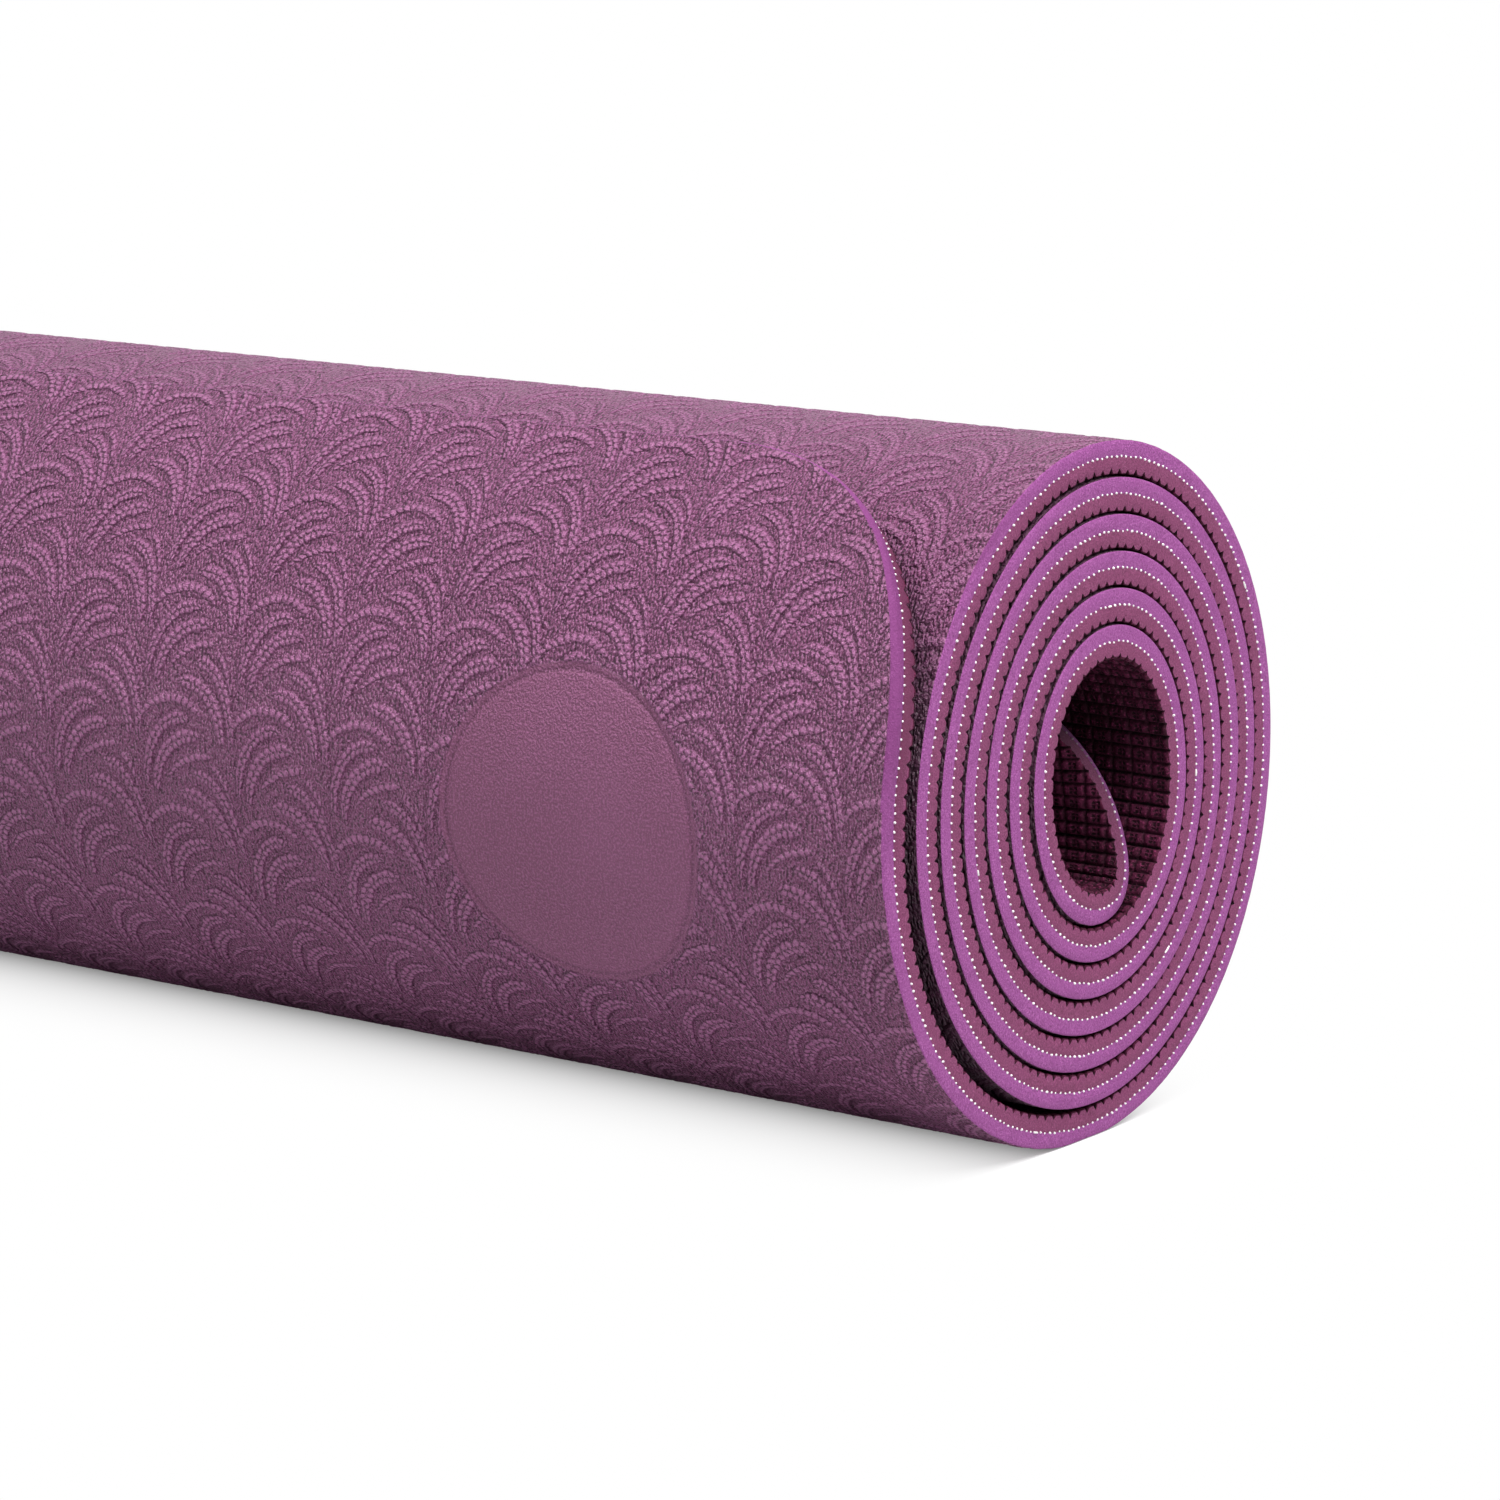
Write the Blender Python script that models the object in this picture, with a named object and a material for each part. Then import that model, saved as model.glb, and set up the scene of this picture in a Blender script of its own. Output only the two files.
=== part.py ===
# A yoga mat of three bonded plies, rolled up and lying on a floor.
# Metres, +Z up. X runs along the roll, -Y is the side with the loose end, and Z = 0 is the floor.

import math

import bmesh
import bpy
import numpy as np

# The mat laid flat: two foam plies with an open net bonded between them
MAT_LENGTH = 1.830
MAT_WIDTH = 0.610
CORNER_RADIUS = 0.060
OUTER_FOAM_THICKNESS = 0.0026
INNER_FOAM_THICKNESS = 0.0026
NET_THICKNESS = 0.0002
BOND_GAP = 0.0003

# The winding: a spiral of even pitch, slightly taller than wide. Turns are counted outwards
CORE_RADIUS = 0.0213
TURN_GAP = 0.00079
TURN_DRIFT = 0.00030
OVAL_RISE = 0.0018
OVAL_LEAN = math.radians(94)
WINDING_START_ANGLE = math.radians(275)

# The inner end leaves the winding, crosses the core and lies against the far wall.
# Its places are shares of a turn, and its handles are shares of the core
TAIL_END_TURN_SHARE = -0.92
TAIL_START_TURN_SHARE = -0.61
ROOT_HANDLE_SHARE = 0.90
TIP_HANDLE_SHARE = 0.42

# The loose outer end stands off the turn below it
FLAP_LIFT = 0.0030
FLAP_LIFT_CENTRE = 0.087
FLAP_LIFT_REACH = 0.098

# The outer turn is flat where the roll lies on the floor
REST_CUT_DEPTH = 0.0005

# How finely the curves are divided
FACET_ANGLE = math.radians(9)
CORNER_STEPS = 6
REST_STEPS = 4
TRACE_TURN = 1 / 360
TRACE_POINTS = 1831

FULL_TURN = 2 * math.pi
MM_PER_METRE = 1000
MAT_THICKNESS = OUTER_FOAM_THICKNESS + INNER_FOAM_THICKNESS + NET_THICKNESS + 2 * BOND_GAP
TURN_PITCH = MAT_THICKNESS + TURN_GAP

# Distances from the net's middle, which is the line that the spiral follows
NET_FACE = NET_THICKNESS / 2
FOAM_BACK = NET_FACE + BOND_GAP
OUTER_FACE = FOAM_BACK + OUTER_FOAM_THICKNESS
INNER_FACE = FOAM_BACK + INNER_FOAM_THICKNESS


def clear_scene():
    for item in list(bpy.data.objects):
        bpy.data.objects.remove(item, do_unlink=True)


def winding(turn):
    """Points (y, z) of the net's middle at a number of turns."""
    angle = WINDING_START_ANGLE - FULL_TURN * turn
    radius = CORE_RADIUS + TURN_PITCH * turn + OVAL_RISE * np.cos(2 * (angle - OVAL_LEAN))
    y = radius * np.cos(angle) - TURN_DRIFT * turn
    z = radius * np.sin(angle)
    return np.stack([y, z], axis=-1)


def inward(turn):
    """Unit direction of the winding, towards its inner end."""
    step = winding(turn - TRACE_TURN) - winding(turn + TRACE_TURN)
    return step / np.linalg.norm(step)


def crossing():
    """The run across the core, a cubic curve between two places on the winding."""
    tip = winding(TAIL_START_TURN_SHARE)
    root = winding(0.0)
    tip_handle = tip - inward(TAIL_START_TURN_SHARE) * CORE_RADIUS * TIP_HANDLE_SHARE
    root_handle = root + inward(0.0) * CORE_RADIUS * ROOT_HANDLE_SHARE
    t = np.arange(TRACE_TURN, 1, TRACE_TURN)[:, None]
    near_tip = (1 - t) ** 3 * tip + 3 * (1 - t) ** 2 * t * tip_handle
    near_root = 3 * (1 - t) * t**2 * root_handle + t**3 * root
    return near_tip + near_root


def lengths(points):
    steps = np.linalg.norm(np.diff(points, axis=0), axis=1)
    return np.concatenate([[0], np.cumsum(steps)])


def base_line():
    """The winding from the mat's outer end to its inner end, in even steps of its length."""
    tail = winding(np.arange(TAIL_END_TURN_SHARE, TAIL_START_TURN_SHARE, TRACE_TURN))
    spare_turns = MAT_LENGTH / (FULL_TURN * CORE_RADIUS)
    wound = winding(np.arange(0, spare_turns, TRACE_TURN))
    points = np.concatenate([tail, crossing(), wound])
    run = lengths(points)
    places = np.linspace(MAT_LENGTH, 0, TRACE_POINTS)
    return np.stack([np.interp(places, run, points[:, i]) for i in range(2)], axis=1)


def directions(points):
    along = np.gradient(points, axis=0)
    return along / np.linalg.norm(along, axis=1)[:, None]


def outward(points):
    along = directions(points)
    return np.stack([along[:, 1], -along[:, 0]], axis=1)


def lifted(points):
    """The same line with the outer end raised off the turn below it."""
    distance = lengths(points)
    away = np.clip((distance - FLAP_LIFT_CENTRE) / FLAP_LIFT_REACH, -1, 1)
    lift = FLAP_LIFT * np.cos(away * math.pi / 2) ** 2
    return points + outward(points) * lift[:, None]


class Roll:
    """The line that the net follows, set down on the floor and centred over the origin."""

    def __init__(self):
        base = base_line()
        self.line = lifted(base)
        self.out = outward(self.line)
        skin = self.line + self.out * OUTER_FACE
        low, high = skin.min(axis=0), skin.max(axis=0)
        self.line -= [(low[0] + high[0]) / 2, low[1] + REST_CUT_DEPTH]
        self.distance = lengths(self.line)
        self.stations = self.choose_stations(base)

    def face(self, distance, offset):
        """Points (y, z) on the face at this offset from the net, none below the floor."""
        points = self.line + self.out * offset
        y = np.interp(distance, self.distance, points[:, 0])
        z = np.interp(distance, self.distance, points[:, 1])
        return np.stack([y, np.maximum(z, 0)], axis=1)

    def half_width(self, distance):
        """Half the mat's width, less where its corners are rounded."""
        to_end = np.minimum(distance, self.distance[-1] - distance)
        short = CORNER_RADIUS - np.clip(to_end, 0, CORNER_RADIUS)
        return MAT_WIDTH / 2 - CORNER_RADIUS + np.sqrt(CORNER_RADIUS**2 - short**2)

    def choose_stations(self, base):
        """Distances of the cross sections: one a facet, and more at the corners and the floor."""
        along = directions(base)
        heading = np.unwrap(np.arctan2(along[:, 1], along[:, 0]))
        facets = np.arange(heading[0], heading[-1], FACET_ANGLE)
        wound = np.interp(facets, heading, self.distance)
        turned = np.linspace(0, math.pi / 2, CORNER_STEPS + 1)
        corner = CORNER_RADIUS * (1 - np.cos(turned))
        skin = self.line + self.out * OUTER_FACE
        on_floor = self.distance[skin[:, 1] < 0]
        rest = np.linspace(on_floor[0], on_floor[-1], REST_STEPS + 1)
        places = np.sort(np.concatenate([wound, corner, self.distance[-1] - corner, rest]))
        closest = CORNER_RADIUS * (1 - math.cos(turned[1])) / 2
        kept = [places[0]]
        for place in places[1:-1]:
            if place - kept[-1] > closest and places[-1] - place > closest:
                kept.append(place)
        return np.array(kept + [places[-1]])

    def least_gap(self):
        """The least distance between the facing sides of two neighbouring turns."""
        outer = self.face(self.distance, OUTER_FACE)
        inner = self.face(self.distance, -INNER_FACE)
        apart = np.abs(self.distance[:, None] - self.distance[None, :]) > CORE_RADIUS
        gaps = np.linalg.norm(outer[:, None] - inner[None, :], axis=2)
        return gaps[apart].min()


def foam_material(name, color, roughness):
    material = bpy.data.materials.new(name)
    material.use_nodes = True
    shader = material.node_tree.nodes["Principled BSDF"]
    shader.inputs["Base Color"].default_value = (*color, 1)
    shader.inputs["Roughness"].default_value = roughness
    shader.inputs["Metallic"].default_value = 0
    material.diffuse_color = (*color, 1)
    return material


def ply(name, roll, low, high, material):
    """One ply as a closed band along the spiral, lofted through its cross sections."""
    half = roll.half_width(roll.stations)
    near = roll.face(roll.stations, low)
    far = roll.face(roll.stations, high)
    shape = bmesh.new()
    sections = []
    for x, (near_y, near_z), (far_y, far_z) in zip(half, near, far):
        corners = [(-x, near_y, near_z), (x, near_y, near_z), (x, far_y, far_z), (-x, far_y, far_z)]
        sections.append([shape.verts.new(corner) for corner in corners])
    for first, second in zip(sections, sections[1:]):
        for i in range(4):
            j = (i + 1) % 4
            shape.faces.new([first[i], first[j], second[j], second[i]])
    shape.faces.new(sections[0][::-1])
    shape.faces.new(sections[-1])
    bmesh.ops.recalc_face_normals(shape, faces=shape.faces)
    mesh = bpy.data.meshes.new(name)
    shape.to_mesh(mesh)
    shape.free()
    mesh.shade_smooth()
    mesh.set_sharp_from_angle(angle=math.radians(30))
    mesh.materials.append(material)
    item = bpy.data.objects.new(name, mesh)
    bpy.context.scene.collection.objects.link(item)
    return item


def main():
    clear_scene()
    roll = Roll()
    orchid = foam_material("orchid_foam", (0.27, 0.075, 0.25), 0.6)
    plum = foam_material("plum_foam", (0.16, 0.045, 0.10), 0.65)
    white = foam_material("white_yarn", (0.8, 0.78, 0.78), 0.7)
    ply("outer_foam", roll, FOAM_BACK, OUTER_FACE, orchid)
    ply("reinforcing_net", roll, -NET_FACE, NET_FACE, white)
    ply("inner_foam", roll, -INNER_FACE, -FOAM_BACK, plum)
    gap = roll.least_gap() * MM_PER_METRE
    print(f"{len(roll.stations)} sections, least gap between turns {gap:.3f} mm")


main()
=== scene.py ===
# A rolled yoga mat on a white studio floor: embossed foam outside, deep foam blocks inside,
# and a net between them whose cut yarn ends show along every edge.

import math

import bpy
import numpy as np
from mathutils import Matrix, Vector


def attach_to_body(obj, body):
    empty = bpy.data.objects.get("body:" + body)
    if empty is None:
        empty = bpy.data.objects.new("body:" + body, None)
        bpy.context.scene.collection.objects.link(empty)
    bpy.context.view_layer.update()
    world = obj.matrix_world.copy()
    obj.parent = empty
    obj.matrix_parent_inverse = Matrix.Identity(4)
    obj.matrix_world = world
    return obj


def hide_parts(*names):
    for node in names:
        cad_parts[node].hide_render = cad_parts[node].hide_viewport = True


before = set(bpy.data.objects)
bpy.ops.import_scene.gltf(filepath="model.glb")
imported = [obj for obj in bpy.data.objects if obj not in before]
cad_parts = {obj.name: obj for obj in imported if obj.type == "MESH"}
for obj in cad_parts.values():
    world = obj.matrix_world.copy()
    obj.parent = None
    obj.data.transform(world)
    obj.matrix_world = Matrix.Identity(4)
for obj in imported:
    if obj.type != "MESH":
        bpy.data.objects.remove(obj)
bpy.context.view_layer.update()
scene = bpy.context.scene
random = np.random.default_rng(7)

mm = 0.001
mmPerMetre = 1000
fullTurn = 2 * math.pi
tiny = 1e-15  # stands in for a length of nothing in a division
probe = 0.1 * mm  # half the distance that a slope on the sheet is measured over
closest = 0.1 * mm  # rows and columns don't lie nearer to each other than this
rollAxis = 0.065  # how high the roll's axis is over the floor


# The sheet and its winding

sheet = {
    "length": 1.830,
    "width": 0.610,
    "cornerRadius": 0.060,
    "innerCornerRadius": 0.085,
    "halfThickness": 0.0030,
    "outerFace": 0.00310,
    "innerFace": 0.00328,
    "edgeRounding": 0.00035,
    "roundness": 0.998,  # just under 1, so that the edge doesn't end in an upright step
    "netRoom": 0.00002,
}

winding = {
    "coreRadius": 0.0213,
    "turnPitch": 0.00679,
    "drift": 0.00030,
    "ovalRise": 0.0018,
    "ovalLean": math.radians(94),
    "startAngle": math.radians(275),
    "tailEndTurn": -0.92,
    "tailStartTurn": -0.61,
    "rootHandle": 0.90,
    "tipHandle": 0.42,
    "flapLift": 0.0030,
    "flapLiftCentre": 0.087,
    "flapLiftReach": 0.098,
    "floorCut": 0.0005,
    "telescoping": 0.0014,  # how far the innermost turn stands out of the end, against the outermost
    "tracedTurns": 8,  # more than the mat has
    "turnStep": 1 / 5760,
    "probeTurn": 0.001,
    "lineStep": 0.00025,
}

# The turns stand in and out at the roll's ends by a little
sway = {"size": 0.12 * mm, "long": 0.037, "short": 0.0171, "phase": 2}

# The loose inner end leans near the roll's ends
tongue = {
    "freeLength": 0.074,
    "rootLength": 0.050,
    "reach": 0.062,
    "lean": 0.27,
    "leanPower": 1.5,
    "leanLimit": 1.2,
    "curlReach": 0.006,
    "curl": 0.0011,
}

# The loose outer end peels away a little at its edges, and more at its corners
peel = {
    "middle": 0.040,
    "length": 0.075,
    "reach": 0.012,
    "rise": 0.0011,
    "closer": 0.0010,
    "cornerRise": 0.0004,
    "cornerLength": 0.025,
    "cornerStart": 0.200,
    "cornerWidth": 0.060,
}

# The outer foam's edge is cut on a slant round the corners
slant = {
    "from": 0.060,
    "fade": 0.030,
    "reach": 0.0004,
    "depth": 0.0007,
    "innerReach": 0.0023,
    "innerDepth": 0.0022,
    "cutShare": 0.9,  # how much of the slant shows cut foam
    "margin": 0.1 * mm,
}


def eased(share):
    share = np.clip(share, 0, 1)
    return share * share * (3 - 2 * share)


def windingPoint(turn):
    angle = winding["startAngle"] - fullTurn * turn
    oval = winding["ovalRise"] * np.cos(2 * (angle - winding["ovalLean"]))
    radius = winding["coreRadius"] + winding["turnPitch"] * turn + oval
    return np.stack([radius * np.cos(angle) - winding["drift"] * turn, radius * np.sin(angle)], axis=-1)


def windingInward(turn):
    step = windingPoint(turn - winding["probeTurn"]) - windingPoint(turn + winding["probeTurn"])
    return step / np.linalg.norm(step)


def runAlong(points):
    steps = np.linalg.norm(np.diff(points, axis=0), axis=1)
    return np.concatenate([[0], np.cumsum(steps)])


def outwardOf(points):
    along = np.gradient(points, axis=0)
    along /= np.linalg.norm(along, axis=1)[:, None]
    return np.stack([along[:, 1], -along[:, 0]], axis=1)


class MatLine:
    # the line of the net, from the loose outer end to the inner end, in even steps

    def __init__(self):
        fine = winding["turnStep"]
        core, start = winding["coreRadius"], winding["tailStartTurn"]
        tip, root = windingPoint(start), windingPoint(0.0)
        tipHandle = tip - windingInward(start) * core * winding["tipHandle"]
        rootHandle = root + windingInward(0.0) * core * winding["rootHandle"]
        t = np.arange(fine, 1, fine)[:, None]
        crossing = (1 - t) ** 3 * tip + 3 * (1 - t) ** 2 * t * tipHandle
        crossing += 3 * (1 - t) * t**2 * rootHandle + t**3 * root
        tail = windingPoint(np.arange(winding["tailEndTurn"], start, fine))
        wound = windingPoint(np.arange(0, winding["tracedTurns"], fine))
        points = np.concatenate([tail, crossing, wound])
        places = np.linspace(sheet["length"], 0, round(sheet["length"] / winding["lineStep"]) + 1)
        run = runAlong(points)
        base = np.stack([np.interp(places, run, points[:, i]) for i in range(2)], axis=1)
        away = np.clip((runAlong(base) - winding["flapLiftCentre"]) / winding["flapLiftReach"], -1, 1)
        lift = winding["flapLift"] * np.cos(away * math.pi / 2) ** 2
        self.points = base + outwardOf(base) * lift[:, None]
        self.out = outwardOf(self.points)
        skin = self.points + self.out * sheet["halfThickness"]
        low, high = skin.min(axis=0), skin.max(axis=0)
        self.points -= [(low[0] + high[0]) / 2, low[1] + winding["floorCut"]]
        self.run = runAlong(self.points)
        self.length = self.run[-1]

    def radiusAt(self, along):
        return np.where(along < self.length / 2, sheet["cornerRadius"], sheet["innerCornerRadius"])

    def halfWidth(self, along):
        radius = self.radiusAt(along)
        toEnd = np.minimum(along, self.length - along)
        short = radius - np.clip(toEnd, 0, radius)
        return sheet["width"] / 2 - radius + np.sqrt(np.maximum(radius**2 - short**2, 0))

    def toEdge(self, across, along):
        # distance from the sheet's nearest edge, round the corners too
        radius = self.radiusAt(along)
        toSide = sheet["width"] / 2 - np.abs(across)
        toEnd = np.minimum(along, self.length - along)
        toCorner = radius - np.hypot(np.maximum(radius - toSide, 0), np.maximum(radius - toEnd, 0))
        inCorner = (toSide < radius) & (toEnd < radius)
        return np.maximum(np.where(inCorner, toCorner, np.minimum(toSide, toEnd)), 0)

    def lean(self, across, along):
        # how far the loose inner end leans over
        begun = eased((along - self.length + tongue["freeLength"]) / tongue["rootLength"])
        reach, power = tongue["reach"], tongue["leanPower"]
        near = np.clip(1 - (sheet["width"] / 2 - np.abs(across)) / reach, 0, tongue["leanLimit"])
        edge = np.clip(1 - self.toEdge(across, along) / tongue["curlReach"], 0, 1)
        return begun * (tongue["lean"] * reach * near**power / power + tongue["curl"] * edge**2)

    def lift(self, across, along):
        # how far the loose outer end peels away
        near = np.clip(1 - self.toEdge(across, along) / peel["reach"], 0, 1)
        share = np.cos(np.clip((along - peel["middle"]) / peel["length"], -1, 1) * math.pi / 2) ** 2
        corner = eased((np.abs(across) - peel["cornerStart"]) / peel["cornerWidth"])
        corner = corner * np.clip(1 - along / peel["cornerLength"], 0, 1) ** 2
        return share * (peel["rise"] * near**2 - peel["closer"]) + corner * peel["cornerRise"]

    def slopes(self, across, along, stepAcross, stepAlong):
        # how fast the lean and the lift grow, one way over the sheet
        run = 2 * (stepAcross + stepAlong)
        ahead = (across + stepAcross, along + stepAlong)
        behind = (across - stepAcross, along - stepAlong)
        return [(rise(*ahead) - rise(*behind)) / run for rise in (self.lean, self.lift)]

    def outAt(self, across, along):
        # the way out of the sheet's face
        across, along = np.broadcast_arrays(across, along)
        outY, outZ = (np.interp(along, self.run, self.out[:, i]) for i in range(2))
        leanX, liftX = self.slopes(across, along, probe, 0)
        leanS, liftS = self.slopes(across, along, 0, probe)
        byAcross = np.stack([np.ones_like(outY), leanX + liftX * outY, liftX * outZ], axis=-1)
        byAlong = np.stack([np.zeros_like(outY), leanS + liftS * outY - outZ, liftS * outZ + outY], axis=-1)
        out = np.cross(byAlong, byAcross)
        return out / np.linalg.norm(out, axis=-1)[..., None]

    def place(self, across, along, height):
        # world points of places on the sheet, at a height over the net; none goes below the floor
        across, along, height = np.broadcast_arrays(across, along, height)
        waves = np.sin(along / sway["long"]) + np.sin(along / sway["short"] + sway["phase"])
        shift = winding["telescoping"] * (along / self.length - 0.5) + sway["size"] * waves
        y, z = (np.interp(along, self.run, self.points[:, i]) for i in range(2))
        outY, outZ = (np.interp(along, self.run, self.out[:, i]) for i in range(2))
        lift = self.lift(across, along)
        net = np.stack([across + shift, y + self.lean(across, along) + lift * outY, z + lift * outZ], axis=-1)
        points = net + self.outAt(across, along) * height[..., None]
        points[..., 2] = np.maximum(points[..., 2], 0)
        return points


line = MatLine()
print("line: the sheet is", round(line.length, 4), "m long")


# Shader values that add up as numbers do

class Socket:
    def __init__(self, owner, socket):
        self.owner = owner
        self.socket = socket

    def math(self, operation, other=None):
        inputs = {0: self} if other is None else {0: self, 1: other}
        return self.owner.node("ShaderNodeMath", {"operation": operation}, inputs)

    def __add__(self, other):
        return self.math("ADD", other)

    def __sub__(self, other):
        return self.math("SUBTRACT", other)

    def __mul__(self, other):
        return self.math("MULTIPLY", other)

    def __truediv__(self, other):
        return self.math("DIVIDE", other)

    def __mod__(self, other):
        return self.math("FLOORED_MODULO", other)

    def __abs__(self):
        return self.math("ABSOLUTE")

    def __rsub__(self, other):
        return self.owner.node("ShaderNodeMath", {"operation": "SUBTRACT"}, {0: other, 1: self})

    __radd__ = __add__
    __rmul__ = __mul__


class NodeTree:
    def __init__(self, data):
        self.data = data
        self.data.use_nodes = True
        self.tree = data.node_tree

    def node(self, kind, settings=None, inputs=None, output=0):
        made = self.tree.nodes.new(kind)
        for name, value in (settings or {}).items():
            setattr(made, name, value)
        for name, value in (inputs or {}).items():
            if isinstance(value, Socket):
                self.link(value, made.inputs[name])
            else:
                made.inputs[name].default_value = value
        return Socket(self, made.outputs[output])

    def link(self, value, target):
        self.tree.links.new(value.socket, target)


class Material(NodeTree):
    def __init__(self, name, color, roughness, shine=0.5):
        super().__init__(bpy.data.materials.new(name))
        self.data.diffuse_color = (*color, 1)
        self.shader = self.tree.nodes["Principled BSDF"]
        self.output = self.tree.nodes["Material Output"]
        self.shader.inputs["Roughness"].default_value = roughness
        self.shader.inputs["Base Color"].default_value = (*color, 1)
        self.shader.inputs["Specular IOR Level"].default_value = shine

    def feed(self, name, value):
        self.link(value, self.shader.inputs[name])

    def parts(self, vector, count):
        # the first parts of a vector or a colour, as values
        return [self.node("ShaderNodeSeparateXYZ", None, {"Vector": vector}, i) for i in range(count)]

    def joined(self, across, along):
        return self.node("ShaderNodeCombineXYZ", None, {0: across, 1: along})

    def sheetPlace(self):
        # millimetres across and along the sheet
        across, along = self.parts(self.node("ShaderNodeUVMap", {"uv_map": "sheetPlace"}), 2)
        return across * mmPerMetre, along * mmPerMetre

    def placeInRoll(self):
        # metres: x along the roll, y aside and z over the floor
        return self.parts(self.node("ShaderNodeTexCoord", output="Object"), 3)

    def noise(self, size, detail=2.0, rough=0.5, where=None, output=0):
        # size is in millimetres, as is a place that is given
        scale = 1 / size if where else mmPerMetre / size
        settings = {"noise_dimensions": "2D" if where else "3D"}
        where = where or self.node("ShaderNodeTexCoord", output="Object")
        values = {"Vector": where, "Scale": scale, "Detail": detail, "Roughness": rough}
        return self.node("ShaderNodeTexNoise", settings, values, output)

    def wander(self, look, where):
        # an uneven shift across and along, each from 0 to 1
        return self.parts(self.noise(*look, where, "Color"), 2)

    def mix(self, share, first, second):
        # a Mix node takes its colours by inputs 6 and 7 and gives one by output 2
        colors = [one if isinstance(one, Socket) else (*one, 1) for one in (first, second)]
        return self.node("ShaderNodeMix", {"data_type": "RGBA"}, {0: share, 6: colors[0], 7: colors[1]}, 2)

    def bump(self, height):
        # height is in millimetres
        values = {"Height": height, "Distance": mm, "Strength": 1.0}
        self.feed("Normal", self.node("ShaderNodeBump", None, values))


# The same formulas shape the mesh, on arrays, and the shader, on sockets

def least(a, b):
    return a.math("MINIMUM", b) if isinstance(a, Socket) else np.minimum(a, b)


def most(a, b):
    return a.math("MAXIMUM", b) if isinstance(a, Socket) else np.maximum(a, b)


def root(a):
    return a.math("SQRT") if isinstance(a, Socket) else np.sqrt(a)


def turnedTo(up, across):
    return up.math("ARCTAN2", across) if isinstance(up, Socket) else np.arctan2(up, across)


def clamped(a):
    return least(most(a, 0.0), 1.0)


def contrasted(value, levels):
    # a gain and a cut spread the middle of a noise out over 0 to 1
    gain, cut = levels
    return clamped(value * gain - cut)


def moved(places, shifts, reach):
    # places over the sheet, each moved either way by up to half the reach
    return [place + shift * reach - reach / 2 for place, shift in zip(places, shifts)]


def fromAxis(y, z):
    up = z - rollAxis
    return root(y * y + up * up)


# The fans: crescent bands of beads that rise from stems, with a groove over each. Millimetres,
# across from a stem and along from a row. Side -1 rises from the left stem, and 1 from the right
fans = {
    "columnPitch": 23.8, "rowPitch": 21.0,
    "firstColumn": 105.4, "firstRow": 20.0,
    "stemShift": 0.1, "stemAside": 0.45, "stemHalf": 0.30, "stemDepth": 0.6,
    "grooveOff": 0.30, "grooveHalf": 0.45, "grooveShift": 0.25, "grooveEnd": 1.06, "grooveFade": 5,
    "startRise": 2.2, "startWidth": 0.26, "endFall": 6.0, "thinnest": 0.02,
    "margin": 0.02, "marginSharp": 40, "endSharp": 8,
    "wideFrom": 1.0, "laneSharp": 50, "beadSlant": 0.6,
    "softening": 0.4, "leastStretch": 0.01,
    "pressedFrom": 315.0, "pressedFade": 25.0, "pressed": 0.32,
}
crescents = [
    {"side": -1, "mid": (10.3, 21.0), "reach": (9.3, 13.6), "arc": (0.00, 1.75), "half": 1.35, "bead": 1.50},
    {"side": -1, "mid": (13.5, 22.0), "reach": (10.0, 11.4), "arc": (0.02, 1.75), "half": 1.50, "bead": 1.50},
    {"side": -1, "mid": (17.5, 23.0), "reach": (12.0, 9.0), "arc": (0.54, 1.62), "half": 0.80, "bead": 1.35},
    {"side": -1, "mid": (8.2, 13.0), "reach": (9.9, 9.2), "arc": (0.45, 2.40), "half": 0.95, "bead": 1.45},
    {"side": 1, "mid": (14.0, 33.0), "reach": (9.3, 15.4), "arc": (0.00, 1.68), "half": 1.30, "bead": 1.50},
    {"side": 1, "mid": (11.2, 33.0), "reach": (9.7, 11.5), "arc": (0.05, 1.80), "half": 1.45, "bead": 1.50},
    {"side": 1, "mid": (17.0, 30.0), "reach": (6.5, 14.6), "arc": (0.50, 1.45), "half": 0.80, "bead": 1.60},
]


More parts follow.
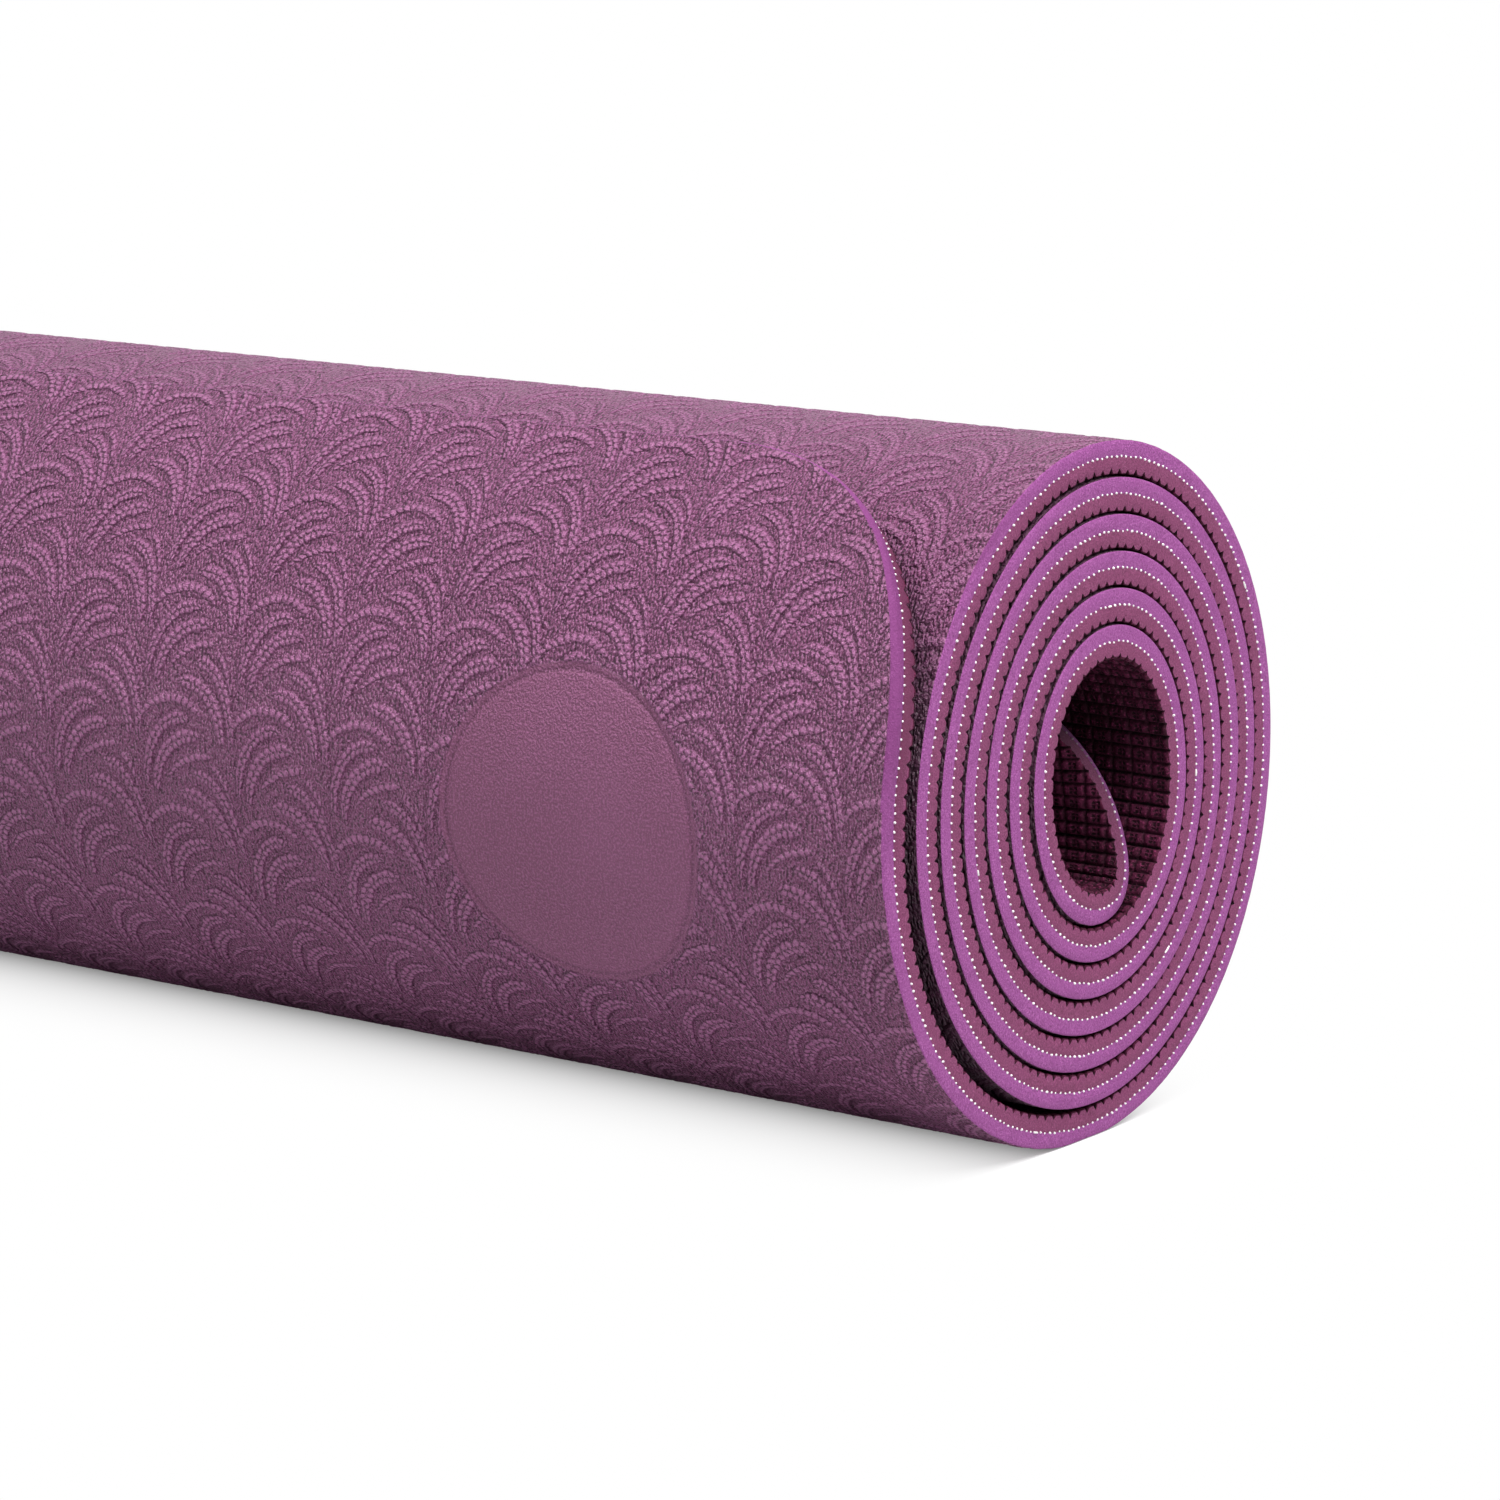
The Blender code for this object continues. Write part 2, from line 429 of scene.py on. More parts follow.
def fanRelief(across, along, soft):
    # how far a place is inside a band, on a bead, and inside a groove, each from 0 to 1
    column, row = fans["columnPitch"], fans["rowPitch"]
    u = across - fans["firstColumn"]
    v = along - fans["firstRow"]
    softened = soft * fans["softening"]
    stem = abs((u + fans["stemShift"] + column / 2) % column - column / 2)
    grooves = clamped(1 - abs(stem - fans["stemAside"]) * (1 / (fans["stemHalf"] + softened)))
    grooves = grooves * fans["stemDepth"]
    bands, beads = grooves * 0, grooves * 0
    for one in crescents:
        reachU, reachV = one["reach"]
        start, end = one["arc"]
        side = ((u - one["mid"][0] + column / 2) % column - column / 2) * one["side"]
        up = (one["mid"][1] - v) % row
        distance = root(side * side + up * up)
        acrossShare, upShare = side * (1 / reachU), up * (1 / reachV)
        stretch = most(root(acrossShare * acrossShare + upShare * upShare), fans["leastStretch"])
        off = distance - distance / stretch
        turned = turnedTo(upShare, acrossShare)
        share = (turned - start) * (1 / (end - start))
        begun = clamped(share * fans["startRise"] + fans["startWidth"])
        ends = least(begun, clamped((1 - share) * fans["endFall"]))
        within = clamped((share + fans["margin"]) * fans["marginSharp"]) * clamped(ends * fans["endSharp"])
        half = root(most(ends, fans["thinnest"])) * one["half"]
        level = off / half
        # a wide band holds two lanes of beads, half a bead apart
        wide = one["half"] > fans["wideFrom"]
        lane = abs(level) * 2 - 1 if wide else level
        shifted = clamped(level * fans["laneSharp"] + 0.5) * 0.5 if wide else 0.0
        run = turned * ((reachU + reachV) / 2) + off * (acrossShare / stretch) * fans["beadSlant"]
        phase = (run * (1 / one["bead"]) + shifted) % 1.0 * 2.0 - 1.0
        bands = most(bands, root(clamped(1 - level * level)) * within)
        beads = most(beads, root(clamped(1 - lane * lane - phase * phase)) * within)
        if wide:
            over = abs(off - half - fans["grooveOff"])
            under = abs(off + half + fans["grooveOff"])
            under = under + one["side"] * fans["grooveShift"] + fans["grooveShift"]
            groove = clamped(1 - least(over, under) * (1 / (fans["grooveHalf"] + softened))) * within
            grooves = most(grooves, groove * clamped((fans["grooveEnd"] - share) * fans["grooveFade"]))
    # the turns below are pressed flatter
    left = 1 - clamped((along - fans["pressedFrom"]) * (1 / fans["pressedFade"])) * fans["pressed"]
    return bands * left, beads * left, grooves * left


# The smooth round patch near the free end, bare, with its rim groove. Millimetres
patch = {
    "centre": (233.8, 78.9),
    "radius": 29.9,
    "border": 0.3,
    "sunk": 0.16,
    "rim": 28.6,
    "rimHalf": 0.60,
    "rimDepth": 0.30,
    "rimSoftening": 0.5,
}


def patchRelief(across, along, soft):
    x, y = across - patch["centre"][0], along - patch["centre"][1]
    radius = root(x * x + y * y)
    smooth = clamped((patch["radius"] - radius) * (1 / (patch["border"] + soft)) + 0.5)
    rim = clamped(1 - abs(radius - patch["rim"]) * (1 / (patch["rimHalf"] + soft * patch["rimSoftening"])))
    return smooth, rim


# The foam blocks of the inner face, each with a small square pit that holds a cross. Millimetres
blocks = {
    "across": 4.3, "along": 2.94,
    "deepHalf": 0.62, "deep": 1.05,
    "shallowHalf": 0.50, "shallow": 0.42,
    "pitHalf": 0.75, "pit": 0.42, "pitBorder": 0.1,
    "crossHalf": 0.16,
    "unevenness": 0.35,
}
golden = 0.618034  # steps of this much of a whole never fall into a rhythm


def blockRelief(across, along, soft):
    width, pitch = blocks["across"], blocks["along"]
    u, v = across % width, along % pitch
    midU, midV = abs(u - width / 2), abs(v - pitch / 2)
    deep = clamped(1 - (pitch / 2 - midV) * (1 / (blocks["deepHalf"] + soft)))
    nearestRow = along + pitch / 2 - (v + pitch / 2) % pitch
    seed = (nearestRow * (golden / pitch)) % 1.0
    deep = deep * (1 - seed * blocks["unevenness"])
    shallow = clamped(1 - (width / 2 - midU) * (1 / (blocks["shallowHalf"] + soft)))
    sharp = 1 / (soft + blocks["pitBorder"])
    pit = clamped((blocks["pitHalf"] - most(midU, midV)) * sharp + 0.5)
    cross = clamped((blocks["crossHalf"] - least(midU, midV)) * sharp + 0.5) * pit
    return deep, shallow, pit, cross


# Meshes are gathered from grids of points, each with its own normals

# Room in the picture that a bake fills: what a cut wall and a hidden back take against a face, and margins
bakeRoom = {"wall": 0.03, "back": 0.1, "width": 0.99, "left": 0.005, "height": 0.94, "under": 0.03}


def gridNormals(points):
    normals = np.cross(np.gradient(points, axis=0), np.gradient(points, axis=1))
    return normals / np.maximum(np.linalg.norm(normals, axis=2), tiny)[..., None]


class Shape:
    def __init__(self, name, materials):
        self.name = name
        self.materials = materials
        self.points, self.places, self.normals, self.faces, self.slots, self.rooms = [], [], [], [], [], []
        self.count = 0

    def add(self, points, places, normals, faces, slot, room=1.0):
        self.points.append(points.reshape(-1, 3))
        self.places.append(places.reshape(-1, 2))
        self.normals.append(normals.reshape(-1, 3))
        self.rooms.append(room)
        self.faces += [one + self.count for one in faces]
        self.slots += [np.full(len(one), slot) for one in faces]
        self.count += len(self.points[-1])

    def grid(self, points, places, slot, turned, room=1.0, normals=None):
        # turned is for a grid whose rows, columns and outside are left-handed
        rows, columns = points.shape[:2]
        index = np.arange(rows * columns).reshape(rows, columns)
        quads = np.stack([index[:-1, :-1], index[:-1, 1:], index[1:, 1:], index[1:, :-1]], axis=-1)
        quads = quads.reshape(-1, 4)
        if normals is None:
            normals = gridNormals(points) * (1 if turned else -1)
        self.add(points, places, normals, [quads[:, ::-1] if turned else quads], slot, room)

    def make(self):
        mesh = bpy.data.meshes.new(self.name)
        points = np.concatenate(self.points)
        sizes = np.concatenate([np.full(len(one), one.shape[1]) for one in self.faces])
        corners = np.concatenate([one.ravel() for one in self.faces])
        mesh.vertices.add(len(points))
        mesh.vertices.foreach_set("co", points.ravel().astype(np.float32))
        mesh.loops.add(len(corners))
        mesh.loops.foreach_set("vertex_index", corners.astype(np.int32))
        mesh.polygons.add(len(sizes))
        starts = np.concatenate([[0], np.cumsum(sizes)[:-1]])
        mesh.polygons.foreach_set("loop_start", starts.astype(np.int32))
        mesh.polygons.foreach_set("material_index", np.concatenate(self.slots).astype(np.int32))
        for material in self.materials:
            mesh.materials.append(material.data)
        self.unwrap(mesh, "sheetPlace", np.concatenate(self.places)[corners])
        if self.rooms[0]:
            self.unwrap(mesh, "OFBake", self.bakePlaces()[corners])
        mesh.update(calc_edges=True)
        mesh.polygons.foreach_set("use_smooth", np.ones(len(sizes), dtype=bool))
        mesh.normals_split_custom_set_from_vertices(np.concatenate(self.normals).astype(np.float32))
        item = bpy.data.objects.new(self.name, mesh)
        scene.collection.objects.link(item)
        return item

    def unwrap(self, mesh, name, places):
        layer = mesh.uv_layers.new(name=name, do_init=False)
        layer.data.foreach_set("uv", places.ravel().astype(np.float32))

    def bakePlaces(self):
        # each grid laid out flat, one over the other
        found, start = [], 0.0
        for place, room in zip(self.places, self.rooms):
            low, high = place.min(axis=0), place.max(axis=0)
            flat = (place - low) / np.maximum(high - low, tiny)
            room = room / sum(self.rooms)
            size = [bakeRoom["width"], room * bakeRoom["height"]]
            found.append(flat * size + [bakeRoom["left"], start + room * bakeRoom["under"]])
            start += room
        return np.concatenate(found)


# How the sheet is divided: places in from its side edges, in millimetres, the turn of a corner
# that gets more rows, in radians, and places down a cut wall as shares of its depth
division = {
    "skinEdge": (0, 0.06, 0.16, 0.32, 0.6, 1.0, 1.6, 2.4),
    "notchEdge": (0, 0.12, 0.35),
    "blockEdge": (0.0, 0.12, 0.32),
    "cornerTurn": 0.45,
    "cornerStep": 0.026,
    "wall": (0.0, 0.12, 0.35, 0.65, 0.88, 1.0),
    "seam": (0.0, 1.0),
}

# A cut is slightly full and uneven: waves by their length in metres and their size in millimetres
cutShape = {
    "fullness": 0.13,
    "waves": [(0.0009, 0.030), (0.0021, 0.045), (0.0064, 0.05), (0.027, 0.06)],
    "phase": 1.7,
}


def evenPlaces(start, end, spacing):
    return np.linspace(start, end, round((end - start) / spacing) + 1)


def columnPlaces(spacing, steps=division["skinEdge"]):
    # places across the full width, close together at the rounded edges
    side = sheet["width"] / 2
    edge = side - np.array(steps) * mm
    middle = np.linspace(-edge[-1], edge[-1], max(round(2 * edge[-1] / spacing), 1) + 1)
    return np.concatenate([-edge[:-1], middle, edge[:-1][::-1]])


def rowPlaces(rows):
    # the given rows along the sheet, and more where its corners begin
    corner = 1 - np.cos(np.arange(0, division["cornerTurn"], division["cornerStep"]))
    outer = sheet["cornerRadius"] * corner
    inner = line.length - sheet["innerCornerRadius"] * corner
    extra = np.concatenate([outer, inner])
    extra = extra[(extra >= rows[0]) & (extra <= rows[-1])]
    apart = np.abs(rows[:, None] - extra[None, :]).min(axis=1, initial=1.0)
    return np.unique(np.concatenate([extra, rows[apart > closest]]))


def acrossAt(rows, columns, squeeze):
    # the columns of each row: where the corners are cut, those within a width of the edge draw together
    side = sheet["width"] / 2
    half = line.halfWidth(rows)[:, None]
    zone = np.minimum(squeeze, half)
    plain = np.abs(columns)[None, :]
    near = half - zone + (plain - half + zone) * zone / (side - half + zone)
    return np.sign(columns) * np.where(plain > half - zone, near, plain)


def dropped(across, along, reach, depth):
    # how far a face drops at the cut edge
    short = np.clip(1 - line.toEdge(across, along) / reach, 0, 1)
    return depth * (1 - np.sqrt(1 - short**2 * sheet["roundness"]))


def slanted(along):
    # how far in and how deep the outer foam's edge is cut
    toEnd = np.minimum(along, line.length - along)
    share = eased(1 - (toEnd - slant["from"]) / slant["fade"])
    inner = along > line.length / 2
    reach = sheet["edgeRounding"] + share * np.where(inner, slant["innerReach"], slant["reach"])
    depth = sheet["edgeRounding"] + share * np.where(inner, slant["innerDepth"], slant["depth"])
    return reach, depth


def ripple(along, seed):
    # small unevenness of a cut
    found = 0
    for i, (length, size) in enumerate(cutShape["waves"]):
        found = found + size * np.sin(along / length + seed * (i + cutShape["phase"]))
    return found * mm


def cutWall(shape, row, base, along, slot, turned, seed):
    # the wall from a face's edge down to the net: slightly full where it is a cut, flat at a seam
    steps = np.array(division["wall"] if slot else division["seam"])[:, None, None]
    wall = row * (1 - steps) + base * steps
    if slot:
        direction = np.cross(np.gradient(row, axis=0), base - row) * (-1 if turned else 1)
        direction /= np.maximum(np.linalg.norm(direction, axis=1), tiny)[:, None]
        full = cutShape["fullness"] * mm + ripple(along, seed)[None, :, None]
        wall = wall + direction * (1 - (2 * steps - 1) ** 2) * full
        wall[..., 2] = np.maximum(wall[..., 2], 0)
    depth = np.linspace(0, sheet["halfThickness"], len(steps))[:, None]
    places = np.stack(np.broadcast_arrays(along[None, :], depth), axis=-1)
    shape.grid(wall, places, slot, turned, bakeRoom["wall"])


def slices(count, parts):
    ends = np.linspace(0, count - 1, parts + 1).round().astype(int)
    return [slice(a, b + 1) for a, b in zip(ends, ends[1:])]


def ply(name, side, rows, columns, height, materials, parts=(1, 1), squeeze=1.0):
    # a layer of foam between the net and its face, as closed slabs that fit together
    across = acrossAt(rows, columns, squeeze)
    along = np.broadcast_to(rows[:, None], across.shape)
    face = line.place(across, along, side * height(across, along))
    back = line.place(across, along, side * sheet["netRoom"])
    normals = gridNormals(face) * side
    toEdge, reach = line.toEdge(across, along), slanted(along)[0]
    onCut = (toEdge < reach * slant["cutShare"]) & (toEdge < reach - slant["margin"]) & (side > 0)
    made = []
    for r, rowPart in enumerate(slices(len(rows), parts[1])):
        for c, columnPart in enumerate(slices(len(columns), parts[0])):
            shape = Shape(name if parts == (1, 1) else f"{name}_{r + 1}_{c + 1}", materials)
            part = (rowPart, columnPart)
            places = np.stack([across[part], along[part]], axis=-1)
            cut = (onCut[part][:-1, :-1] & onCut[part][1:, 1:]).ravel().astype(int)
            shape.grid(face[part], places, cut, side > 0, 1.0, normals[part])
            top, under, run = face[part], back[part], rows[rowPart]
            for end in (0, -1):
                isCut = columnPart.start == 0 if end == 0 else columnPart.stop == len(columns)
                turned = (1 if end else -1) * side < 0
                cutWall(shape, top[:, end], under[:, end], run, int(isCut), turned, 1 + end)
            for end in (0, -1):
                isCut = abs(run[end] - (line.length if end else 0)) < closest
                turned = (1 if end else -1) * side > 0
                cutWall(shape, top[end], under[end], across[part][end], int(isCut), turned, 3 + end)
            shape.grid(under[:, [0, -1]], places[:, [0, -1]], 1, side < 0, bakeRoom["back"])
            made.append(shape.make())
    return made


def attach(pieces, node):
    for piece in pieces:
        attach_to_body(piece, "root")
        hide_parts(node)


# Painted shade where little light comes: on the inner end, by millimetres along the sheet, and on the loose
# end's slanted edge and the yarn in the core, by metres in the roll
paintedShadeInnerEnd = {"from": 1752.0, "fade": 50.0, "cut": 0.96, "left": 0.10}
paintedShadeFlap = {"radius": 0.0595, "sharp": 800, "above": 0.060, "rise": 40, "aside": 50, "cut": 0.70}
paintedShadeYarn = {"radius": 0.028, "sharp": 500, "end": 0.304, "endSharp": 180, "cut": 0.95}

# The cut edges of both foams: fine closed cells, with painted shade on the loose inner end and on the loose
# end's slanted edge.
# In this dictionary and the next ones a noise is a size in millimetres, a detail and a roughness, and a
# contrast is a gain and a cut
cutLook = {
    "roughness": 0.75, "shine": 0.3,
    "cells": (0.36, 3.0, 0.7), "cellContrast": 6.0, "paleCut": 3.1, "darkCut": 2.7,
    "patches": (5.5, 2.0, 0.5), "patchContrast": (1.6, 0.75), "patchTone": 0.35,
    "lumps": (1.5, 2.0, 0.5),
    "rough": {"base": 0.6, "cells": 0.25},
    "bump": {"cells": 0.40, "lumps": 0.15},
}


def cutMaterial(name, color, dark, pale):
    made = Material(name, color, cutLook["roughness"], cutLook["shine"])
    rough, bump = cutLook["rough"], cutLook["bump"]
    cells = made.noise(*cutLook["cells"])
    patches = made.noise(*cutLook["patches"])
    tone = made.mix(clamped(cells * cutLook["cellContrast"] - cutLook["paleCut"]), color, pale)
    tone = made.mix(clamped(cutLook["darkCut"] - cells * cutLook["cellContrast"]), tone, dark)
    tone = made.mix(contrasted(patches, cutLook["patchContrast"]) * cutLook["patchTone"], tone, dark)
    # painted shade: the cut grows darker towards the inner end, deep in the core
    innerEndShade = clamped((most(*made.sheetPlace()) - paintedShadeInnerEnd["from"]) * (1 / paintedShadeInnerEnd["fade"]))
    tone = made.mix(innerEndShade * paintedShadeInnerEnd["cut"], tone, tuple(paintedShadeInnerEnd["left"] * part for part in dark))
    # painted shade on the outer turn's cut, high on the roll's front, where the loose end's edge is slanted
    x, y, z = made.placeInRoll()
    flapShade = clamped((fromAxis(y, z) - paintedShadeFlap["radius"]) * paintedShadeFlap["sharp"])
    flapShade = flapShade * clamped((z - paintedShadeFlap["above"]) * paintedShadeFlap["rise"])
    flapShade = flapShade * clamped(y * -paintedShadeFlap["aside"] - 1)
    tone = made.mix(flapShade * paintedShadeFlap["cut"], tone, dark)
    made.feed("Base Color", tone)
    made.feed("Roughness", cells * rough["cells"] + rough["base"])
    made.bump(cells * bump["cells"] + made.noise(*cutLook["lumps"]) * bump["lumps"])
    return made


orchidCut = cutMaterial("orchid cut", (0.345, 0.081, 0.310), (0.18, 0.031, 0.15), (0.55, 0.17, 0.50))
plumCut = cutMaterial("plum cut", (0.242, 0.050, 0.140), (0.12, 0.019, 0.060), (0.37, 0.10, 0.235))


# The outer foam: a skin with the embossed fans and the bare patch

outerLook = {
    # the groove colour is painted shade in grooves, creases, gaps between beads, the patch's rim and under
    # the loose end; the bead colour is painted highlight on the bead crests, and also lightens wear patches
    # and grain flecks
    "color": (0.230, 0.0585, 0.154),
    "groove": (0.045, 0.008, 0.028),
    "bead": (0.405, 0.146, 0.316),
    "bare": (0.180, 0.0545, 0.118),
    "roughness": 0.5, "shine": 0.42,
    "bandRise": 0.10, "beadRise": 0.10, "grooveDepth": 0.12,
    "sink": 0.08, "plainSink": 0.05,
    "edgeFade": 1.5, "edgeShare": 0.15,
    "meshSoft": 0.5, "fanSoft": 0.16, "patchSoft": 0.1,
    "wander": (2.4, 2.0, 0.6), "wanderReach": 0.9,
    "pebble": 0.62, "pebbleStretch": 0.55, "pebbleDrift": 0.7,
    "grain": (0.44, 1.5, 0.5), "grainContrast": (5.0, 2.3),
    "wear": (38.0, 3.0, 0.55), "wearContrast": (1.8, 0.75),
    "flatlandGain": 1.4, "gapGain": 1.6, "creaseContrast": (3.0, 0.95),
    "dark": {"groove": 0.6, "crease": 0.95},
    "tone": {"bead": 0.60, "dark": 0.88, "rim": 0.45, "wear": 0.22, "grain": 0.9, "patchGrain": 0.45},
    "rough": {"base": 0.33, "grain": 0.2, "dark": 0.2, "patch": 0.22},
    "bump": {"bead": 0.66, "groove": 0.26, "pebble": 1.25, "grain": 0.55, "rim": 0.16},
    "patchBump": {"grain": 0.42, "pebble": 0.22},
    "fineLength": 0.445,
    "tongueLength": 0.105,
    "grid": 0.0006,
    "woundRows": 0.0014, "woundColumns": 0.03, "tongueRows": 0.0009,
    "panels": (4, 3),
}


# Painted shadow: the skin of the turn below is darker under the loose end and close beside its edge.
# Millimetres
below = {"start": 392.8, "step": 0.87, "reach": 2.0, "widening": 0.12, "fade": 50.0, "dark": 0.88}


def paintedLooseEndShadow(across, along):
    # how deep the painted shadow is, from 0 to 1, by how far past the loose end's edge a place lies
    place = (along - below["start"]) * (1 / below["step"])
    corner = sheet["cornerRadius"] / mm
    aside = most(abs(across) - (sheet["width"] / mm / 2 - corner), 0.0)
    before = most(corner - place, 0.0)
    past = root(aside * aside + before * before) - corner
    reach = most(place, 0.0) * below["widening"] + below["reach"]
    return clamped(1 - past / reach) * clamped(place * (1 / below["fade"]))


def skinHeight(across, along):
    bands, beads, grooves = fanRelief(across / mm, along / mm, outerLook["meshSoft"])
    smooth, rim = patchRelief(across / mm, along / mm, outerLook["meshSoft"])
    fan = bands * outerLook["bandRise"] + beads * outerLook["beadRise"] - grooves * outerLook["grooveDepth"]
    relief = fan * (1 - smooth) - smooth * patch["sunk"] - rim * patch["rimDepth"]
    toEdge = line.toEdge(across, along)
    relief = relief * np.clip(toEdge / (outerLook["edgeFade"] * mm), outerLook["edgeShare"], 1)
    return sheet["outerFace"] + (relief - outerLook["sink"]) * mm - dropped(across, along, *slanted(along))


def plainHeight(across, along):
    return sheet["outerFace"] - outerLook["plainSink"] * mm - dropped(across, along, *slanted(along))


def skinMaterial():
    look = outerLook
    weights, rough, bump, patchBump = look["tone"], look["rough"], look["bump"], look["patchBump"]
    made = Material("orchid skin", look["color"], look["roughness"], look["shine"])
    across, along = made.sheetPlace()
    flat = made.joined(across, along)
    shifts = made.wander(look["wander"], flat)
    bands, beads, grooves = fanRelief(*moved((across, along), shifts, look["wanderReach"]), look["fanSoft"])
    smooth, rim = patchRelief(across, along, look["patchSoft"])
    fan = 1 - smooth
    driftX, driftY = (shift * look["pebbleDrift"] for shift in shifts)
    pebbles = made.joined(across + driftX, (along + driftY) * look["pebbleStretch"])
    values = {"Vector": pebbles, "Scale": 1 / look["pebble"]}
    fromCell = made.node("ShaderNodeTexVoronoi", {"voronoi_dimensions": "2D"}, values)
    grain = made.noise(*look["grain"], where=flat)
    wear = made.noise(*look["wear"])
    flatland = clamped(1 - bands * look["flatlandGain"])
    gaps = clamped(bands * look["gapGain"]) * (1 - beads)
    crease = contrasted(fromCell, look["creaseContrast"])
    # painted shade: grooves, creases in the flat ground and the gaps between beads take the groove colour
    dark = most(grooves * look["dark"]["groove"], flatland * crease * look["dark"]["crease"])
    dark = most(dark, gaps) * fan
    tone = made.mix(smooth, look["color"], look["bare"])
    # painted highlight: the bead crests take the lighter bead colour
    tone = made.mix(beads * fan * weights["bead"], tone, look["bead"])
    tone = made.mix(clamped(dark) * weights["dark"], tone, look["groove"])
    # painted shade in the patch's rim groove
    tone = made.mix(rim * weights["rim"], tone, look["groove"])
    tone = made.mix(contrasted(wear, look["wearContrast"]) * weights["wear"], tone, look["bead"])
    # lighter grain flecks: the skin's grain, partly painted highlight
    grained = contrasted(grain, look["grainContrast"]) * (weights["grain"] - smooth * weights["patchGrain"])
    tone = made.mix(grained, tone, look["bead"])
    # painted shadow of the loose end on the turn below
    tone = made.mix(paintedLooseEndShadow(across, along) * below["dark"], tone, look["groove"])
    made.feed("Base Color", tone)
    dullness = grain * rough["grain"] + rough["base"]
    made.feed("Roughness", dullness + dark * rough["dark"] + smooth * rough["patch"])
    relief = beads * bump["bead"] - grooves * bump["groove"]
    relief = relief - flatland * fromCell * bump["pebble"] + grain * bump["grain"]
    patchRise = grain * patchBump["grain"] - fromCell * patchBump["pebble"]
    made.bump(relief * fan + smooth * patchRise - rim * bump["rim"])
    return made


orchidSkin = skinMaterial()
fineEnd = outerLook["fineLength"]
tongueStart = line.length - outerLook["tongueLength"]
fineRows = rowPlaces(evenPlaces(0, fineEnd, outerLook["grid"]))
outerPieces = ply("outer_skin", 1, fineRows, columnPlaces(outerLook["grid"]), skinHeight,
                  [orchidSkin, orchidCut], outerLook["panels"])
woundRows = evenPlaces(fineEnd, tongueStart, outerLook["woundRows"])
outerPieces += ply("outer_wound", 1, woundRows, columnPlaces(outerLook["woundColumns"]), plainHeight,
                   [orchidSkin, orchidCut])
tongueRows = rowPlaces(evenPlaces(tongueStart, line.length, outerLook["tongueRows"]))
outerPieces += ply("outer_tongue", 1, tongueRows, columnPlaces(outerLook["grid"] * 2), skinHeight,
                   [orchidSkin, orchidCut])
attach(outerPieces, "outer_foam")
print("outer foam:", len(outerPieces), "pieces")


# The inner foam: small blocks with deep grooves between them

innerLook = {
    # the dark base colour is partly painted shade of the core; the groove colour is painted shade in the
    # hollows; the top colour lightens wear patches and grain flecks, the flecks partly painted highlight
    "color": (0.035, 0.004, 0.014),
    "groove": (0.006, 0.001, 0.003),
    "top": (0.280, 0.038, 0.125),
    "roughness": 0.6, "shine": 0.15,
    "edgeDrop": 0.6,
    "meshSoft": 0.05, "drawnSoft": 0.08,
    "wander": (0.9, 2.0, 0.6), "wanderReach": 0.9,
    "grain": (0.50, 3.0, 0.6), "grainContrast": (5.0, 2.7),
    "wear": (17.0, 2.0, 0.5), "wearContrast": (1.8, 0.5), "wearTone": 0.35,
    "dark": {"deep": 1.2, "shallow": 0.75, "pit": 0.85},
    "rough": {"base": 0.6, "grain": 0.2},
    "bump": {"grain": 0.25, "shallow": 0.25, "pit": 0.35, "deep": 0.10},
    "fineLength": 0.290,
    "fineReach": 0.085,
    "fineStop": 0.7,
    "notchRows": (0.0, 0.36, 0.72, 2.22, 2.58),
    "blockRows": (0.0, 0.36, 0.72, 1.47, 2.22, 2.58),
    "blockColumns": (0.0, 0.5, 1.35, 2.15, 2.95, 3.8),
    "middleColumns": 50, "woundColumns": 0.05,
    "panels": (1, 2),
    "squeeze": 0.003,
}


def innerHeight(across, along, drop):
    edge = dropped(across, along, sheet["edgeRounding"], sheet["edgeRounding"])
    return sheet["innerFace"] - drop * mm - edge * innerLook["edgeDrop"]


def blockHeight(across, along):
    deep, shallow, pit = blockRelief(across / mm, along / mm, innerLook["meshSoft"])[:3]
    drop = most(most(deep * blocks["deep"], shallow * blocks["shallow"]), pit * blocks["pit"])
    return innerHeight(across, along, drop)


def notchHeight(across, along):
    deep = blockRelief(across / mm, along / mm, innerLook["meshSoft"])[0]
    return innerHeight(across, along, deep * blocks["deep"])


def repeated(offsets, pitch, start, end):
    # places at these offsets of every repeat, and the two ends
    first, last = math.floor(start / pitch), math.ceil(end / pitch)
    places = (np.arange(first, last)[:, None] * pitch + np.array(offsets)[None, :] * mm).ravel()
    places = places[(places > start + closest) & (places < end - closest)]
    return np.concatenate([[start], places, [end]])


def blockColumns():
    side = sheet["width"] / 2
    offsets, pitch = innerLook["blockColumns"], blocks["across"] * mm
    near = repeated(offsets, pitch, side - innerLook["fineReach"], side - innerLook["fineStop"] * mm)
    far = repeated(offsets, pitch, -side + innerLook["fineStop"] * mm, -side + innerLook["fineReach"])
    middle = np.linspace(far[-1], near[0], innerLook["middleColumns"])[1:-1]
    edge = side - np.array(division["blockEdge"]) * mm
    return np.concatenate([-edge, far, middle, near, edge[::-1]])


